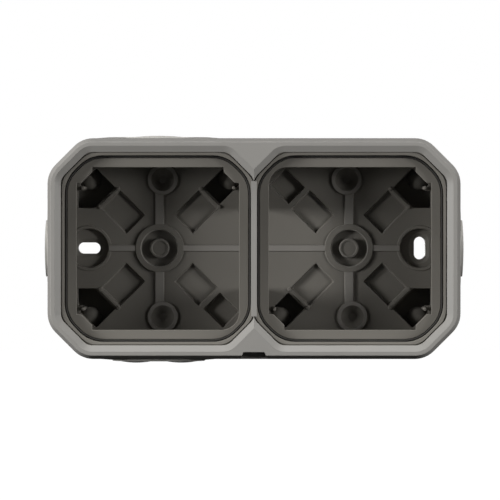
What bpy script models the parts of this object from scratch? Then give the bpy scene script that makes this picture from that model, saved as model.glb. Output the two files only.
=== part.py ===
"""Empty two-gang surface wall box for rocker switches, with its push-in cable glands and rim seals.

The box is modelled lying on its back: X to the right, Y up the wall and Z out of the wall, towards
the user. One empty then stands it up: the back lies on the plane Y = 0, the mouths face -Y, and +Z
is up. All sizes are in metres.
"""
import math

import bmesh
import bpy
from mathutils import Matrix, Vector

# Driving dimensions of the whole box
GANG_PITCH = 0.071
RIM_SIZE = 0.0817  # outside height at the band's back edge, and outside width round one gang there
BOX_DEPTH = 0.043
CORNER_LEG = 0.0128  # each outer corner is cut at 45 degrees
CORNER_RADIUS = 0.010
FRONT_FILLET = 0.0004
BAND_DEPTH = 0.008  # the front band stands proud of the walls behind it
BAND_OVERHANG = 0.00145
BAND_DRAFT = 0.00135  # how far the band's sides lean in towards the front
WALL = 0.0025
FLOOR = 0.0114  # height of the floor above the wall that the box is fixed to

# Mouths, from the front face inwards
FRONT_LAND = 0.00295  # from the band's back edge, like the other insets of the mouth
BEVEL_WIDTH = 0.0023
BEVEL_DROP = 0.0014
LIP_STEP = 0.0006
LIP_WIDTH = 0.0012
SEAT_RADIUS = 0.0125
SEAT_DEPTH = 0.0065
GROOVE_WIDTH = 0.00095
GROOVE_DEPTH = 0.0015
FLANGE_WIDTH = 0.0034
FLANGE_THICKNESS = 0.0025
OPENING_RADIUS = 0.0066  # the plain corner of each opening
OPENING_LEG = 0.0059  # the three corners of each opening that have a socket
OPENING_BREAK = 0.001

# Rim seals
SEAL_CLEARANCE = 0.0002
SEAL_HEIGHT = 0.0018

# Partition under the bridge, with a passage for wires between the gangs
PARTITION = 0.0024
PASSAGE_WIDTH = 0.0296

# Sockets in the corners of the floor, and the shallow pockets in front of them
SOCKET_INNER = 0.0278  # from the gang's centre, along the diagonal
SOCKET_LENGTH = 0.0102
SOCKET_WIDTH = 0.0086
SOCKET_FLOOR = 0.0020
WELL_EDGE = 0.0151  # the sockets in the box's corners widen towards the end wall, from this height
WELL_TOP = 0.0215
WELL_REACH = 0.0306  # from the gang's centre, just past the edge of the flange
POCKET_INNER = 0.0127
POCKET_LENGTH = 0.0131
POCKET_WIDTH = 0.0098
POCKET_DEPTH = 0.0018
POCKET_TAPER = 0.0013
PLAIN_SOCKET_DEPTH = 0.0030  # of the one shallow socket in each gang

# Hub, ribs and bosses on the floor
HUB_RADIUS = 0.0091
HUB_HEIGHT = 0.0009
RING_RADIUS = 0.0068
RING_DEPTH = 0.0016
PIN_RADIUS = 0.0037
DISH_RADIUS = 0.0028
DISH_DEPTH = 0.0004
UPRIGHT_RIB_HEIGHT = 0.0008
UPRIGHT_RIB_WIDTH = 0.0034
LEVEL_RIB_HEIGHT = 0.0007
LEVEL_RIB_WIDTH = 0.0020
BOSS_RADIUS = 0.0058
BOSS_HEIGHT = 0.0010
BOSS_SHIFT = 0.0012  # to the right of the gang's upright line
ODD_BOSS_SHIFT = -0.0009  # of the right gang's upper boss
BOSS_OFFSET = 0.0257
CONE_RADIUS = 0.0042
CONE_TIP_RADIUS = 0.0014
CONE_DEPTH = 0.0028

# Fixing slots in the floor
FIXING_OFFSET = 0.0265  # outwards from the gang's centre
SLOT_LENGTH = 0.0085
SLOT_WIDTH = 0.0042
SINK_WIDTH = 0.0015  # margin of the countersink round the slot
SINK_DEPTH = 0.0008
FIXING_RADIUS = 0.0073
FIXING_DEPTH = 0.0020
FIXING_RIM = 0.0012
FIXING_RIM_HEIGHT = 0.0004

# Pry notch under the bridge, and hollows in the back
NOTCH_WIDTH = 0.0103
NOTCH_TAPER = 0.0013
NOTCH_RISE = 0.00285
NOTCH_DEPTH = 0.0072
HOLLOW_WIDTH = 0.026
HOLLOW_HEIGHT = 0.030
HOLLOW_OFFSET = 0.017
HOLLOW_RADIUS = 0.003
FLOOR_PLATE = 0.0036  # what the hollows leave under the floor

# Cable entries and their glands
ENTRY_HEIGHT = 0.0206  # of the gland's axis, above the wall that the box is fixed to
PAD_PROUD = 0.00045  # of the upper and lower pads, beyond the rim
END_PAD_PROUD = 0.0003
PAD_LENGTH = 0.049
END_PAD_LENGTH = 0.040
PAD_WIDTH = 0.0234
PAD_RADIUS = 0.004
PAD_FOOT_TAPER = 0.0018  # from the foot in to the shoulder
PAD_TOP_TAPER = 0.0042  # from the shoulder in to the flat top, along the wall
PAD_SIDE_TAPER = 0.0012  # the same towards the front and the back
PAD_SHOULDER = 0.00035  # how far the shoulder lies below the flat top
PLATE_LENGTH = 0.0346
PLATE_WIDTH = 0.0204
END_PLATE_RADIUS = 0.0108
PLATE_THICKNESS = 0.0016
SPIGOT_INSET = 0.0024
SPIGOT_WALL = 0.0015
SPIGOT_REACH = 0.0025  # past the inside of the wall
MEMBRANE = 0.0010
GLAND_CLEARANCE = 0.0002
TOP_DOME_RADIUS = 0.0095
TOP_DOME_CROWN = 0.0006
TOP_DOME_EDGE = 0.0001
BOTTOM_PLATE_PROUD = 0.00055
TWIN_DOME_RADIUS = 0.0058
TWIN_DOME_SPACING = 0.0168
TWIN_DOME_CROWN = 0.00075
TWIN_DOME_EDGE = 0.0002
END_DOME_INSET = 0.0003  # from the edge of the round plate
END_DOME_CROWN = 0.00127
END_DOME_EDGE = 0.0008

# Modelling allowances
OVERCUT = 0.001  # how far a cutter reaches past what it cuts
EMBED = 0.001  # how far a raised form reaches into what carries it
ARC_STEPS = 3
ROUND_STEPS = 24

# Derived places
HALF_HEIGHT = RIM_SIZE / 2
HALF_WIDTH = (GANG_PITCH + RIM_SIZE) / 2
LIP_INSET = FRONT_LAND + BEVEL_WIDTH
SEAT_INSET = LIP_INSET + LIP_WIDTH
OPENING_HALF = HALF_HEIGHT - SEAT_INSET - GROOVE_WIDTH - FLANGE_WIDTH
CAVITY_INSET = BAND_OVERHANG + WALL
LIP_Z = BOX_DEPTH - BEVEL_DROP - LIP_STEP
SEAT_Z = BOX_DEPTH - SEAT_DEPTH
FLANGE_BACK_Z = SEAT_Z - FLANGE_THICKNESS
SOCKET_OUTER = SOCKET_INNER + SOCKET_LENGTH
CUT_SHRINK = 2 - math.sqrt(2)  # a 45 degree cut shortens by this share of an inset
CAVITY_HALF = HALF_HEIGHT - CAVITY_INSET
GANGS = {"left": -1, "right": 1}
CORNERS = ((1, 1), (-1, 1), (-1, -1), (1, -1))
PLAIN_CORNER = {"left": (1, -1), "right": (-1, 1)}


# Scene, collections and materials

def clear_scene():
    for item in list(bpy.data.objects):
        bpy.data.objects.remove(item, do_unlink=True)


def new_collection(name):
    collection = bpy.data.collections.new(name)
    bpy.context.scene.collection.children.link(collection)
    return collection


def finish(name, red, green, blue, roughness):
    """A plain moulded finish."""
    material = bpy.data.materials.new(name)
    material.use_nodes = True
    shader = material.node_tree.nodes["Principled BSDF"]
    shader.inputs["Base Color"].default_value = (red, green, blue, 1.0)
    shader.inputs["Roughness"].default_value = roughness
    shader.inputs["Metallic"].default_value = 0.0
    return material


# Flat outlines, each a list of points that runs anticlockwise

def rounded_outline(corners):
    """The outline through corners of (x, y, radius), with an arc at each."""
    points = []
    for index, (x, y, radius) in enumerate(corners):
        corner = Vector((x, y))
        before = Vector(corners[index - 1][:2])
        after = Vector(corners[(index + 1) % len(corners)][:2])
        way_in = (corner - before).normalized()
        way_out = (after - corner).normalized()
        turn = math.atan2(way_in.x * way_out.y - way_in.y * way_out.x, way_in.dot(way_out))
        start = corner - way_in * radius * math.tan(turn / 2)
        centre = start + Vector((-way_in.y, way_in.x)) * radius
        for step in range(ARC_STEPS + 1):
            points.append(centre + Matrix.Rotation(turn * step / ARC_STEPS, 2) @ (start - centre))
    return points


def cut_corner_outline(half_width, half_height, leg, radius):
    """A rectangle whose corners are cut at 45 degrees and then rounded."""
    corners = (
        (half_width, half_height - leg, radius),
        (half_width - leg, half_height, radius),
        (leg - half_width, half_height, radius),
        (-half_width, half_height - leg, radius),
        (-half_width, leg - half_height, radius),
        (leg - half_width, -half_height, radius),
        (half_width - leg, -half_height, radius),
        (half_width, leg - half_height, radius),
    )
    return rounded_outline(corners)


def box_outline(inset):
    """The outline of the whole box, drawn in all round by inset."""
    leg = CORNER_LEG - inset * CUT_SHRINK
    return cut_corner_outline(HALF_WIDTH - inset, HALF_HEIGHT - inset, leg, CORNER_RADIUS - inset)


def gang_outline(inset, radius):
    """The outline of one gang's square, drawn in all round by inset, about the gang's centre."""
    leg = CORNER_LEG - inset * CUT_SHRINK
    return cut_corner_outline(HALF_HEIGHT - inset, HALF_HEIGHT - inset, leg, radius)


def opening_outline(plain_corner):
    """The opening inside one flange: three corners cut for the sockets, and one plain round corner."""
    corners = []
    for across, up in CORNERS:
        x = across * OPENING_HALF
        y = up * OPENING_HALF
        if (across, up) == plain_corner:
            corners.append((x, y, OPENING_RADIUS))
            continue
        cut = [(x, y - up * OPENING_LEG, OPENING_BREAK), (x - across * OPENING_LEG, y, OPENING_BREAK)]
        corners.extend(cut if across == up else reversed(cut))
    return rounded_outline(corners)


def rectangle_outline(width, height, radius):
    corners = [(across * width / 2, up * height / 2, radius) for across, up in CORNERS]
    return rounded_outline(corners)


def block_outline(length, width):
    return [Vector((across * length / 2, up * width / 2)) for across, up in CORNERS]


def circle_outline(radius):
    turns = [2 * math.pi * step / ROUND_STEPS for step in range(ROUND_STEPS)]
    return [Vector((radius * math.cos(turn), radius * math.sin(turn))) for turn in turns]


def stadium_outline(length, width):
    """A slot shape along X with round ends."""
    shift = (length - width) / 2
    half_turn = ROUND_STEPS // 2
    points = []
    for side in (1, -1):
        for step in range(half_turn + 1):
            turn = math.pi * step / half_turn - side * math.pi / 2
            points.append(Vector((side * shift + math.cos(turn) * width / 2, math.sin(turn) * width / 2)))
    return points


def moved(outline, x, y):
    return [point + Vector((x, y)) for point in outline]


# Solids

def solid_object(name, shape, collection, frame=None):
    """An object from a bmesh, with its faces pointing out, standing on the wall with the rest."""
    bmesh.ops.recalc_face_normals(shape, faces=shape.faces)
    mesh = bpy.data.meshes.new(name)
    shape.to_mesh(mesh)
    shape.free()
    item = bpy.data.objects.new(name, mesh)
    collection.objects.link(item)
    item.parent = stand
    item.matrix_basis = frame or Matrix.Identity(4)
    return item


def lofted(name, sections, collection, frame=None):
    """A solid through flat sections of (height, outline): each is extruded from the one before it."""
    shape = bmesh.new()
    height, outline = sections[0]
    base = shape.faces.new([shape.verts.new((x, y, height)) for x, y in outline])
    cap = base
    for height, outline in sections[1:]:
        grown = bmesh.ops.extrude_face_region(shape, geom=[cap])["geom"]
        if cap != base:
            bmesh.ops.delete(shape, geom=[cap], context="FACES_ONLY")
        cap = next(item for item in grown if isinstance(item, bmesh.types.BMFace))
        for vertex, (x, y) in zip(cap.verts, outline):
            vertex.co = (x, y, height)
    return solid_object(name, shape, collection, frame)


def prism(name, outline, low, high, collection, frame=None):
    return lofted(name, [(low, outline), (high, outline)], collection, frame)


def helper(item):
    """A form that is only cut away from a piece or joined to it."""
    item.hide_render = True
    item.display_type = "WIRE"
    return item


def block(name, size, centre, collection):
    """A straight block of (length, width, height) round its centre."""
    shape = bmesh.new()
    bmesh.ops.create_cube(shape, size=1.0)
    bmesh.ops.scale(shape, vec=size, verts=shape.verts)
    return solid_object(name, shape, collection, Matrix.Translation(centre))


def cone(name, x, y, low, high, low_radius, high_radius, collection):
    """A round form that stands along Z, straight or tapered."""
    shape = bmesh.new()
    bmesh.ops.create_cone(
        shape, cap_ends=True, segments=ROUND_STEPS, radius1=low_radius, radius2=high_radius, depth=high - low
    )
    return solid_object(name, shape, collection, Matrix.Translation((x, y, (low + high) / 2)))


def combine(item, operation, operand):
    """Joins an object, or all objects of a collection, to a piece, or cuts it away."""
    modifier = item.modifiers.new(operation.lower(), "BOOLEAN")
    modifier.operation = operation
    modifier.solver = "EXACT"
    if isinstance(operand, bpy.types.Collection):
        modifier.operand_type = "COLLECTION"
        modifier.collection = operand
    else:
        modifier.object = operand


# Outside of the box: the walls, the front band and the pads that carry the glands

def fillet_sections():
    """The rounded front edge of the band, as sections that draw in towards the front face."""
    sections = []
    for step in range(ARC_STEPS + 1):
        turn = math.pi / 2 * step / ARC_STEPS
        inset = BAND_DRAFT + FRONT_FILLET * (1 - math.cos(turn))
        sections.append((BOX_DEPTH - FRONT_FILLET * (1 - math.sin(turn)), box_outline(inset)))
    return sections


def front_band(collection):
    sections = [(BOX_DEPTH - BAND_DEPTH, box_outline(0.0))] + fillet_sections()
    return helper(lofted("front_band", sections, collection))


def entry_frame(facing, x, y):
    """The frame of one cable entry: Z out through the wall, X along it, origin on the pad's flat top."""
    out = Vector((math.cos(facing), math.sin(facing), 0.0))
    along = Vector((-math.sin(facing), math.cos(facing), 0.0))
    turn = Matrix((along, Vector((0.0, 0.0, 1.0)), out)).transposed()
    return Matrix.Translation((x, y, ENTRY_HEIGHT)) @ turn.to_4x4()


def entry_frames():
    top = HALF_HEIGHT + PAD_PROUD
    end = HALF_WIDTH + END_PAD_PROUD
    gang = GANGS["left"] * GANG_PITCH / 2
    return {
        "top": entry_frame(math.pi / 2, gang, top),
        "bottom": entry_frame(-math.pi / 2, gang, -top),
        "left": entry_frame(math.pi, -end, 0.0),
        "right": entry_frame(0.0, end, 0.0),
    }


def pad_rise(side):
    """The height of a pad above the wall that carries it."""
    return BAND_OVERHANG + (PAD_PROUD if side in ("top", "bottom") else END_PAD_PROUD)


def entry_pad(side, frame, collection):
    """The raised pad on the outside of a wall: steep up to its shoulder, then a long slope to a flat top."""
    foot_length = PAD_LENGTH if side in ("top", "bottom") else END_PAD_LENGTH
    length = foot_length - 2 * PAD_FOOT_TAPER
    width = PAD_WIDTH - 2 * PAD_FOOT_TAPER
    foot = rectangle_outline(foot_length, PAD_WIDTH, PAD_RADIUS)
    shoulder = rectangle_outline(length, width, PAD_RADIUS)
    top = rectangle_outline(length - 2 * PAD_TOP_TAPER, width - 2 * PAD_SIDE_TAPER, PAD_RADIUS)
    rise = pad_rise(side)
    sections = [(-rise - EMBED, foot), (-rise, foot), (-PAD_SHOULDER, shoulder), (0.0, top)]
    return helper(lofted(side + "_pad", sections, collection, frame))


# Inside of the box: what stands on the floor

def partitions(collection):
    """The walls under the bridge, one above and one below the passage for wires."""
    low = FLOOR - EMBED
    high = FLANGE_BACK_Z + EMBED
    length = CAVITY_HALF + EMBED - PASSAGE_WIDTH / 2
    middle = PASSAGE_WIDTH / 2 + length / 2
    for up in (1, -1):
        size = (PARTITION, length, high - low)
        helper(block(f"partition_{up}", size, (0.0, up * middle, (low + high) / 2), collection))


def boss_place(gang, x, up):
    shift = ODD_BOSS_SHIFT if (gang, up) == ("right", 1) else BOSS_SHIFT
    return x + shift, up * BOSS_OFFSET


def floor_forms(gang, x, collection):
    """The hub, the ribs, the bosses and the rim round the fixing recess of one gang."""
    low = FLOOR - EMBED
    helper(cone(gang + "_hub", x, 0.0, low, FLOOR + HUB_HEIGHT, HUB_RADIUS, HUB_RADIUS, collection))
    rib_top = FLOOR + UPRIGHT_RIB_HEIGHT
    rib_size = (UPRIGHT_RIB_WIDTH, 2 * BOSS_OFFSET, rib_top - low)
    helper(block(gang + "_upright_rib", rib_size, (x, 0.0, (low + rib_top) / 2), collection))
    outward = GANGS[gang]
    outer_end = x + outward * (FIXING_OFFSET - FIXING_RADIUS)
    level_top = FLOOR + LEVEL_RIB_HEIGHT
    level_size = (abs(outer_end) + EMBED, LEVEL_RIB_WIDTH, level_top - low)
    level_middle = (outer_end - outward * EMBED) / 2
    helper(block(gang + "_level_rib", level_size, (level_middle, 0.0, (low + level_top) / 2), collection))
    for up in (1, -1):
        place = boss_place(gang, x, up)
        top = FLOOR + BOSS_HEIGHT
        helper(cone(f"{gang}_boss_{up}", *place, low, top, BOSS_RADIUS, BOSS_RADIUS, collection))
    rim_radius = FIXING_RADIUS + FIXING_RIM
    fixing_x = x + outward * FIXING_OFFSET
    rim_top = FLOOR + FIXING_RIM_HEIGHT
    helper(cone(gang + "_fixing_rim", fixing_x, 0.0, low, rim_top, rim_radius, rim_radius, collection))


# Cuts

def mouth_cuts(gang, x, collection):
    """The bevel and lip, the seat with its seal groove, and the opening of one gang."""
    front = BOX_DEPTH + OVERCUT
    flare = OVERCUT * BEVEL_WIDTH / BEVEL_DROP
    bevel_foot = moved(gang_outline(LIP_INSET, CORNER_RADIUS - LIP_INSET), x, 0.0)
    bevel = [
        (front, moved(gang_outline(FRONT_LAND - flare, CORNER_RADIUS - FRONT_LAND + flare), x, 0.0)),
        (BOX_DEPTH - BEVEL_DROP, bevel_foot),
        (LIP_Z, bevel_foot),
    ]
    helper(lofted(gang + "_bevel_cut", bevel, collection))
    seat_edge = moved(gang_outline(SEAT_INSET, SEAT_RADIUS), x, 0.0)
    flange_edge = moved(gang_outline(SEAT_INSET + GROOVE_WIDTH, SEAT_RADIUS - GROOVE_WIDTH), x, 0.0)
    seat = [
        (front, seat_edge),
        (SEAT_Z - GROOVE_DEPTH, seat_edge),
        (SEAT_Z - GROOVE_DEPTH, flange_edge),
        (SEAT_Z, flange_edge),
    ]
    helper(lofted(gang + "_seat_cut", seat, collection))
    opening = moved(opening_outline(PLAIN_CORNER[gang]), x, 0.0)
    helper(prism(gang + "_opening_cut", opening, FLANGE_BACK_Z - OVERCUT, front, collection))


def diagonal_cut(name, x, corner, inner, outer, width, sections, collection):
    """A cut along a gang's diagonal, between two distances from the centre: sections of (height, inset)."""
    across, up = corner
    turn = Matrix.Rotation(math.atan2(up, across), 4, "Z")
    frame = Matrix.Translation((x, 0.0, 0.0)) @ turn
    middle = (inner + outer) / 2
    outlines = []
    for height, inset in sections:
        length = outer - inner - 2 * inset
        outlines.append((height, moved(block_outline(length, width - 2 * inset), middle, 0.0)))
    return helper(lofted(name, outlines, collection, frame))


def diagonal_point(along, aside):
    """A point in a gang's upper right quarter, measured along its diagonal and aside from it."""
    return Vector(((along - aside) / math.sqrt(2), (along + aside) / math.sqrt(2)))


def well_outline(corner):
    """The socket in a corner of the box: square on the diagonal, and widened towards the end wall."""
    across, up = corner
    half = SOCKET_WIDTH / 2
    outline = [
        diagonal_point(SOCKET_INNER, half),
        Vector((SOCKET_INNER * math.sqrt(2) - WELL_EDGE, WELL_EDGE)),
        Vector((WELL_REACH, WELL_EDGE)),
        Vector((WELL_REACH, WELL_TOP)),
        Vector((WELL_TOP + half * math.sqrt(2), WELL_TOP)),
        diagonal_point(SOCKET_OUTER, -half),
        diagonal_point(SOCKET_OUTER, half),
    ]
    if across != up:
        outline.reverse()
    return [Vector((across * point.x, up * point.y)) for point in outline]


def corner_cuts(gang, x, collection):
    """A deep socket in each corner of the floor, a shallow one at the plain corner, and the pockets."""
    top = FLOOR + OVERCUT
    deep = [(SOCKET_FLOOR, 0.0), (top, 0.0)]
    shallow = [(FLOOR - PLAIN_SOCKET_DEPTH, POCKET_TAPER), (FLOOR, 0.0), (top, 0.0)]
    pocket = [(FLOOR - POCKET_DEPTH, POCKET_TAPER), (FLOOR, 0.0), (top, 0.0)]
    for corner in CORNERS:
        place = f"{gang}_{corner[0]}_{corner[1]}"
        if corner[0] == GANGS[gang]:
            outline = moved(well_outline(corner), x, 0.0)
            helper(prism(place + "_socket_cut", outline, SOCKET_FLOOR, top, collection))
        else:
            sections = shallow if corner == PLAIN_CORNER[gang] else deep
            reach = (SOCKET_INNER, SOCKET_OUTER, SOCKET_WIDTH)
            diagonal_cut(place + "_socket_cut", x, corner, *reach, sections, collection)
        reach = (POCKET_INNER, POCKET_INNER + POCKET_LENGTH, POCKET_WIDTH)
        diagonal_cut(place + "_pocket_cut", x, corner, *reach, pocket, collection)


def fixing_outline(gang, x, margin):
    """The fixing slot, or the countersink round it: level in the left gang, upright in the right gang."""
    slot = stadium_outline(SLOT_LENGTH + 2 * margin, SLOT_WIDTH + 2 * margin)
    if gang == "right":
        slot = [Vector((-point.y, point.x)) for point in slot]
    return moved(slot, x, 0.0)


def floor_cuts(gang, x, collection):
    """The ring and dish of the hub, the conical boss recesses, and the fixing slot in its recess."""
    top = FLOOR + HUB_HEIGHT + OVERCUT
    ring_edge = moved(circle_outline(RING_RADIUS), x, 0.0)
    pin_edge = moved(circle_outline(PIN_RADIUS), x, 0.0)
    ring_z = FLOOR - RING_DEPTH
    ring = [(top + OVERCUT, ring_edge), (ring_z, ring_edge), (ring_z, pin_edge), (top, pin_edge)]
    helper(lofted(gang + "_ring_cut", ring, collection))
    dish_z = FLOOR + HUB_HEIGHT - DISH_DEPTH
    dish_top = FLOOR + HUB_HEIGHT + OVERCUT / 2
    helper(cone(gang + "_dish_cut", x, 0.0, dish_z, dish_top, DISH_RADIUS, DISH_RADIUS, collection))
    slope = (CONE_RADIUS - CONE_TIP_RADIUS) / CONE_DEPTH
    for up in (1, -1):
        boss_top = FLOOR + BOSS_HEIGHT
        place = boss_place(gang, x, up)
        heights = (boss_top - CONE_DEPTH, boss_top + OVERCUT)
        radii = (CONE_TIP_RADIUS, CONE_RADIUS + OVERCUT * slope)
        helper(cone(f"{gang}_cone_cut_{up}", *place, *heights, *radii, collection))
    fixing_x = x + GANGS[gang] * FIXING_OFFSET
    recess = (FLOOR - FIXING_DEPTH, FLOOR + FIXING_RIM_HEIGHT + OVERCUT)
    helper(cone(gang + "_fixing_cut", fixing_x, 0.0, *recess, FIXING_RADIUS, FIXING_RADIUS, collection))
    slot = fixing_outline(gang, fixing_x, 0.0)
    sink = fixing_outline(gang, fixing_x, SINK_WIDTH)
    sink_top = FLOOR - FIXING_DEPTH
    sections = [(-OVERCUT, slot), (sink_top - SINK_DEPTH, slot), (sink_top, sink), (sink_top + OVERCUT, sink)]
    helper(lofted(gang + "_slot_cut", sections, collection))


def back_cuts(gang, x, collection):
    """Two hollows in the back of one gang, which leave flat webs to bear on the wall."""
    hollow = rectangle_outline(HOLLOW_WIDTH, HOLLOW_HEIGHT, HOLLOW_RADIUS)
    for up in (1, -1):
        outline = moved(hollow, x, up * HOLLOW_OFFSET)
        helper(prism(f"{gang}_hollow_cut_{up}", outline, -OVERCUT, FLOOR - FLOOR_PLATE, collection))


def notch_cut(collection):
    """The pry notch in the front edge of the rim, under the bridge."""
    slope = NOTCH_TAPER / NOTCH_RISE
    foot = NOTCH_WIDTH / 2 + OVERCUT * slope
    head = NOTCH_WIDTH / 2 - NOTCH_TAPER
    low = -HALF_HEIGHT - OVERCUT
    high = -HALF_HEIGHT + NOTCH_RISE
    outline = [Vector(point) for point in ((-foot, low), (foot, low), (head, high), (-head, high))]
    return helper(prism("notch_cut", outline, BOX_DEPTH - NOTCH_DEPTH, BOX_DEPTH + OVERCUT, collection))


def plate_outline(side, inset):
    """The outline of a gland's plate, drawn in all round by inset."""
    if side in ("top", "bottom"):
        return stadium_outline(PLATE_LENGTH - 2 * inset, PLATE_WIDTH - 2 * inset)
    return circle_outline(END_PLATE_RADIUS - inset)


def entry_cut(side, frame, collection):
    """The stepped hole for one gland: a recess for its plate and a way through for its spigot."""
    recess = plate_outline(side, -GLAND_CLEARANCE)
    way = plate_outline(side, SPIGOT_INSET - GLAND_CLEARANCE)
    seat = -PLATE_THICKNESS - GLAND_CLEARANCE
    sections = [(OVERCUT, recess), (seat, recess), (seat, way), (-pad_rise(side) - WALL - OVERCUT, way)]
    return helper(lofted(side + "_entry_cut", sections, collection, frame))


# The pieces

def box_body(frames):
    """The one-piece moulded box."""
    body = prism("box_body", box_outline(BAND_OVERHANG), 0.0, BOX_DEPTH - BAND_DEPTH + EMBED, parts)
    outside = new_collection("outside_forms")
    front_band(outside)
    for side, frame in frames.items():
        entry_pad(side, frame, outside)
    inside = new_collection("floor_forms")
    partitions(inside)
    cuts = new_collection("cutters")
    cavity = prism("cavity", box_outline(CAVITY_INSET), FLOOR, FLANGE_BACK_Z, new_collection("cavity_cutter"))
    for gang, side in GANGS.items():
        x = side * GANG_PITCH / 2
        floor_forms(gang, x, inside)
        mouth_cuts(gang, x, cuts)
        corner_cuts(gang, x, cuts)
        floor_cuts(gang, x, cuts)
        back_cuts(gang, x, cuts)
    notch_cut(cuts)
    for side, frame in frames.items():
        entry_cut(side, frame, cuts)
    combine(body, "UNION", outside)
    combine(body, "DIFFERENCE", helper(cavity))
    combine(body, "UNION", inside)
    combine(body, "DIFFERENCE", cuts)
    body.data.materials.append(box_plastic)
    return body


def dome_sections(radius, base, foot, edge, crown):
    """A low dome from base up: a straight edge, then an arc of a sphere to its crown."""
    rise = crown - edge
    sphere = (radius * radius + rise * rise) / (2 * rise)
    sections = [(base, circle_outline(radius))]
    for step in range(ARC_STEPS):
        reach = radius * (1 - step / ARC_STEPS)
        height = foot + edge + math.sqrt(sphere * sphere - reach * reach) - (sphere - rise)
        sections.append((height, circle_outline(reach)))
    return sections


def cable_gland(side, frame, proud, domes, radius, edge, crown):
    """A soft gland: a plate in the pad's recess, a hollow spigot through the wall, and low domes."""
    plate = plate_outline(side, 0.0)
    spigot = plate_outline(side, SPIGOT_INSET)
    hollow = plate_outline(side, SPIGOT_INSET + SPIGOT_WALL)
    tip = -pad_rise(side) - WALL - SPIGOT_REACH
    sections = [
        (-MEMBRANE, hollow),
        (tip, hollow),
        (tip, spigot),
        (-PLATE_THICKNESS, spigot),
        (-PLATE_THICKNESS, plate),
        (proud, plate),
    ]
    gland = lofted(side + "_cable_gland", sections, parts, frame)
    for number, shift in enumerate(domes):
        shape = dome_sections(radius, -MEMBRANE / 2, proud, edge, crown)
        shifted = [(height, moved(outline, shift, 0.0)) for height, outline in shape]
        combine(gland, "UNION", helper(lofted(f"{side}_dome_{number}", shifted, gland_forms, frame)))
    gland.data.materials.append(gland_rubber)
    return gland


def cable_glands(frames):
    top_dome = (TOP_DOME_RADIUS, TOP_DOME_EDGE, TOP_DOME_CROWN)
    cable_gland("top", frames["top"], 0.0, [0.0], *top_dome)
    twin_dome = (TWIN_DOME_RADIUS, TWIN_DOME_EDGE, TWIN_DOME_CROWN)
    twin_places = [-TWIN_DOME_SPACING / 2, TWIN_DOME_SPACING / 2]
    cable_gland("bottom", frames["bottom"], BOTTOM_PLATE_PROUD, twin_places, *twin_dome)
    end_dome = (END_PLATE_RADIUS - END_DOME_INSET, END_DOME_EDGE, END_DOME_CROWN)
    for side in ("left", "right"):
        cable_gland(side, frames[side], 0.0, [0.0], *end_dome)


def rim_seal(gang):
    """The rubber ring that lies in the groove round a mouth: a flat outline with a hole, given height."""
    outer = SEAT_INSET + SEAL_CLEARANCE
    inner = SEAT_INSET + GROOVE_WIDTH - SEAL_CLEARANCE
    curve = bpy.data.curves.new(gang + "_rim_seal", "CURVE")
    curve.dimensions = "2D"
    curve.fill_mode = "BOTH"
    curve.extrude = SEAL_HEIGHT / 2
    for inset in (outer, inner):
        outline = gang_outline(inset, SEAT_RADIUS - (inset - SEAT_INSET))
        spline = curve.splines.new("POLY")
        spline.points.add(len(outline) - 1)
        for point, (x, y) in zip(spline.points, outline):
            point.co = (x, y, 0.0, 1.0)
        spline.use_cyclic_u = True
    seal = bpy.data.objects.new(gang + "_rim_seal", curve)
    parts.objects.link(seal)
    seal.parent = stand
    bottom = SEAT_Z - GROOVE_DEPTH + SEAL_CLEARANCE
    seal.location = (GANGS[gang] * GANG_PITCH / 2, 0.0, bottom + SEAL_HEIGHT / 2)
    curve.materials.append(seal_rubber)
    return seal


clear_scene()
parts = new_collection("two_gang_wall_box")
gland_forms = new_collection("gland_forms")
stand = bpy.data.objects.new("stand", None)
parts.objects.link(stand)
stand.rotation_euler = (math.pi / 2, 0.0, 0.0)
box_plastic = finish("grey_moulded_plastic", 0.262, 0.255, 0.244, 0.5)
gland_rubber = finish("light_grey_soft_plastic", 0.46, 0.46, 0.45, 0.6)
seal_rubber = finish("dark_rubber", 0.075, 0.073, 0.07, 0.7)
entries = entry_frames()
box_body(entries)
cable_glands(entries)
for gang_name in GANGS:
    rim_seal(gang_name)
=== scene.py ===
"""Looks of the empty two-gang surface wall box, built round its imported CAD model.

The pieces are drawn in millimetres, lying on their back: X to the right, Y up the wall and Z out of
the wall. One matrix then stands them on the wall, in the frame's metres.
"""
import math

import bmesh
import bpy
from mathutils import Matrix, Vector


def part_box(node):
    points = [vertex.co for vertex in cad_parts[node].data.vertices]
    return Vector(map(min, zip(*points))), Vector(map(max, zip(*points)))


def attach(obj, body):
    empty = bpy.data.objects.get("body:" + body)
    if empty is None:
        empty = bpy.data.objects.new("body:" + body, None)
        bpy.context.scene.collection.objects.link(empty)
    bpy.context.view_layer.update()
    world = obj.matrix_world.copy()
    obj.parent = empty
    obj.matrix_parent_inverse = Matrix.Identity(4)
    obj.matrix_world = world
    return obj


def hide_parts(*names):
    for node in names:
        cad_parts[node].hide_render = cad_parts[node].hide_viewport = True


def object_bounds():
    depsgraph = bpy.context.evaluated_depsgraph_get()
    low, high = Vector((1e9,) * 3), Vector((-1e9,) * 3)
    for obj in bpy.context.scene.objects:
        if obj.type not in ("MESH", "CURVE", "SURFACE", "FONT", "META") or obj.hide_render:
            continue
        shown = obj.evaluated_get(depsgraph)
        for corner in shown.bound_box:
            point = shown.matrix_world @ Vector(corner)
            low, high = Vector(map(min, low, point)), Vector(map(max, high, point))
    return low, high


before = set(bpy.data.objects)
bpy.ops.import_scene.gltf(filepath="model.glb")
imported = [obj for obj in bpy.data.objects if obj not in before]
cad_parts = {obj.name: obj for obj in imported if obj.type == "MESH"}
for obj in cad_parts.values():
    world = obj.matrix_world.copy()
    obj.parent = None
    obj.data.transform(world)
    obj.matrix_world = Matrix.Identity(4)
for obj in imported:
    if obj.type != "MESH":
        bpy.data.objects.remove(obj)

cad_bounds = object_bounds()
scene = bpy.context.scene

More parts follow.
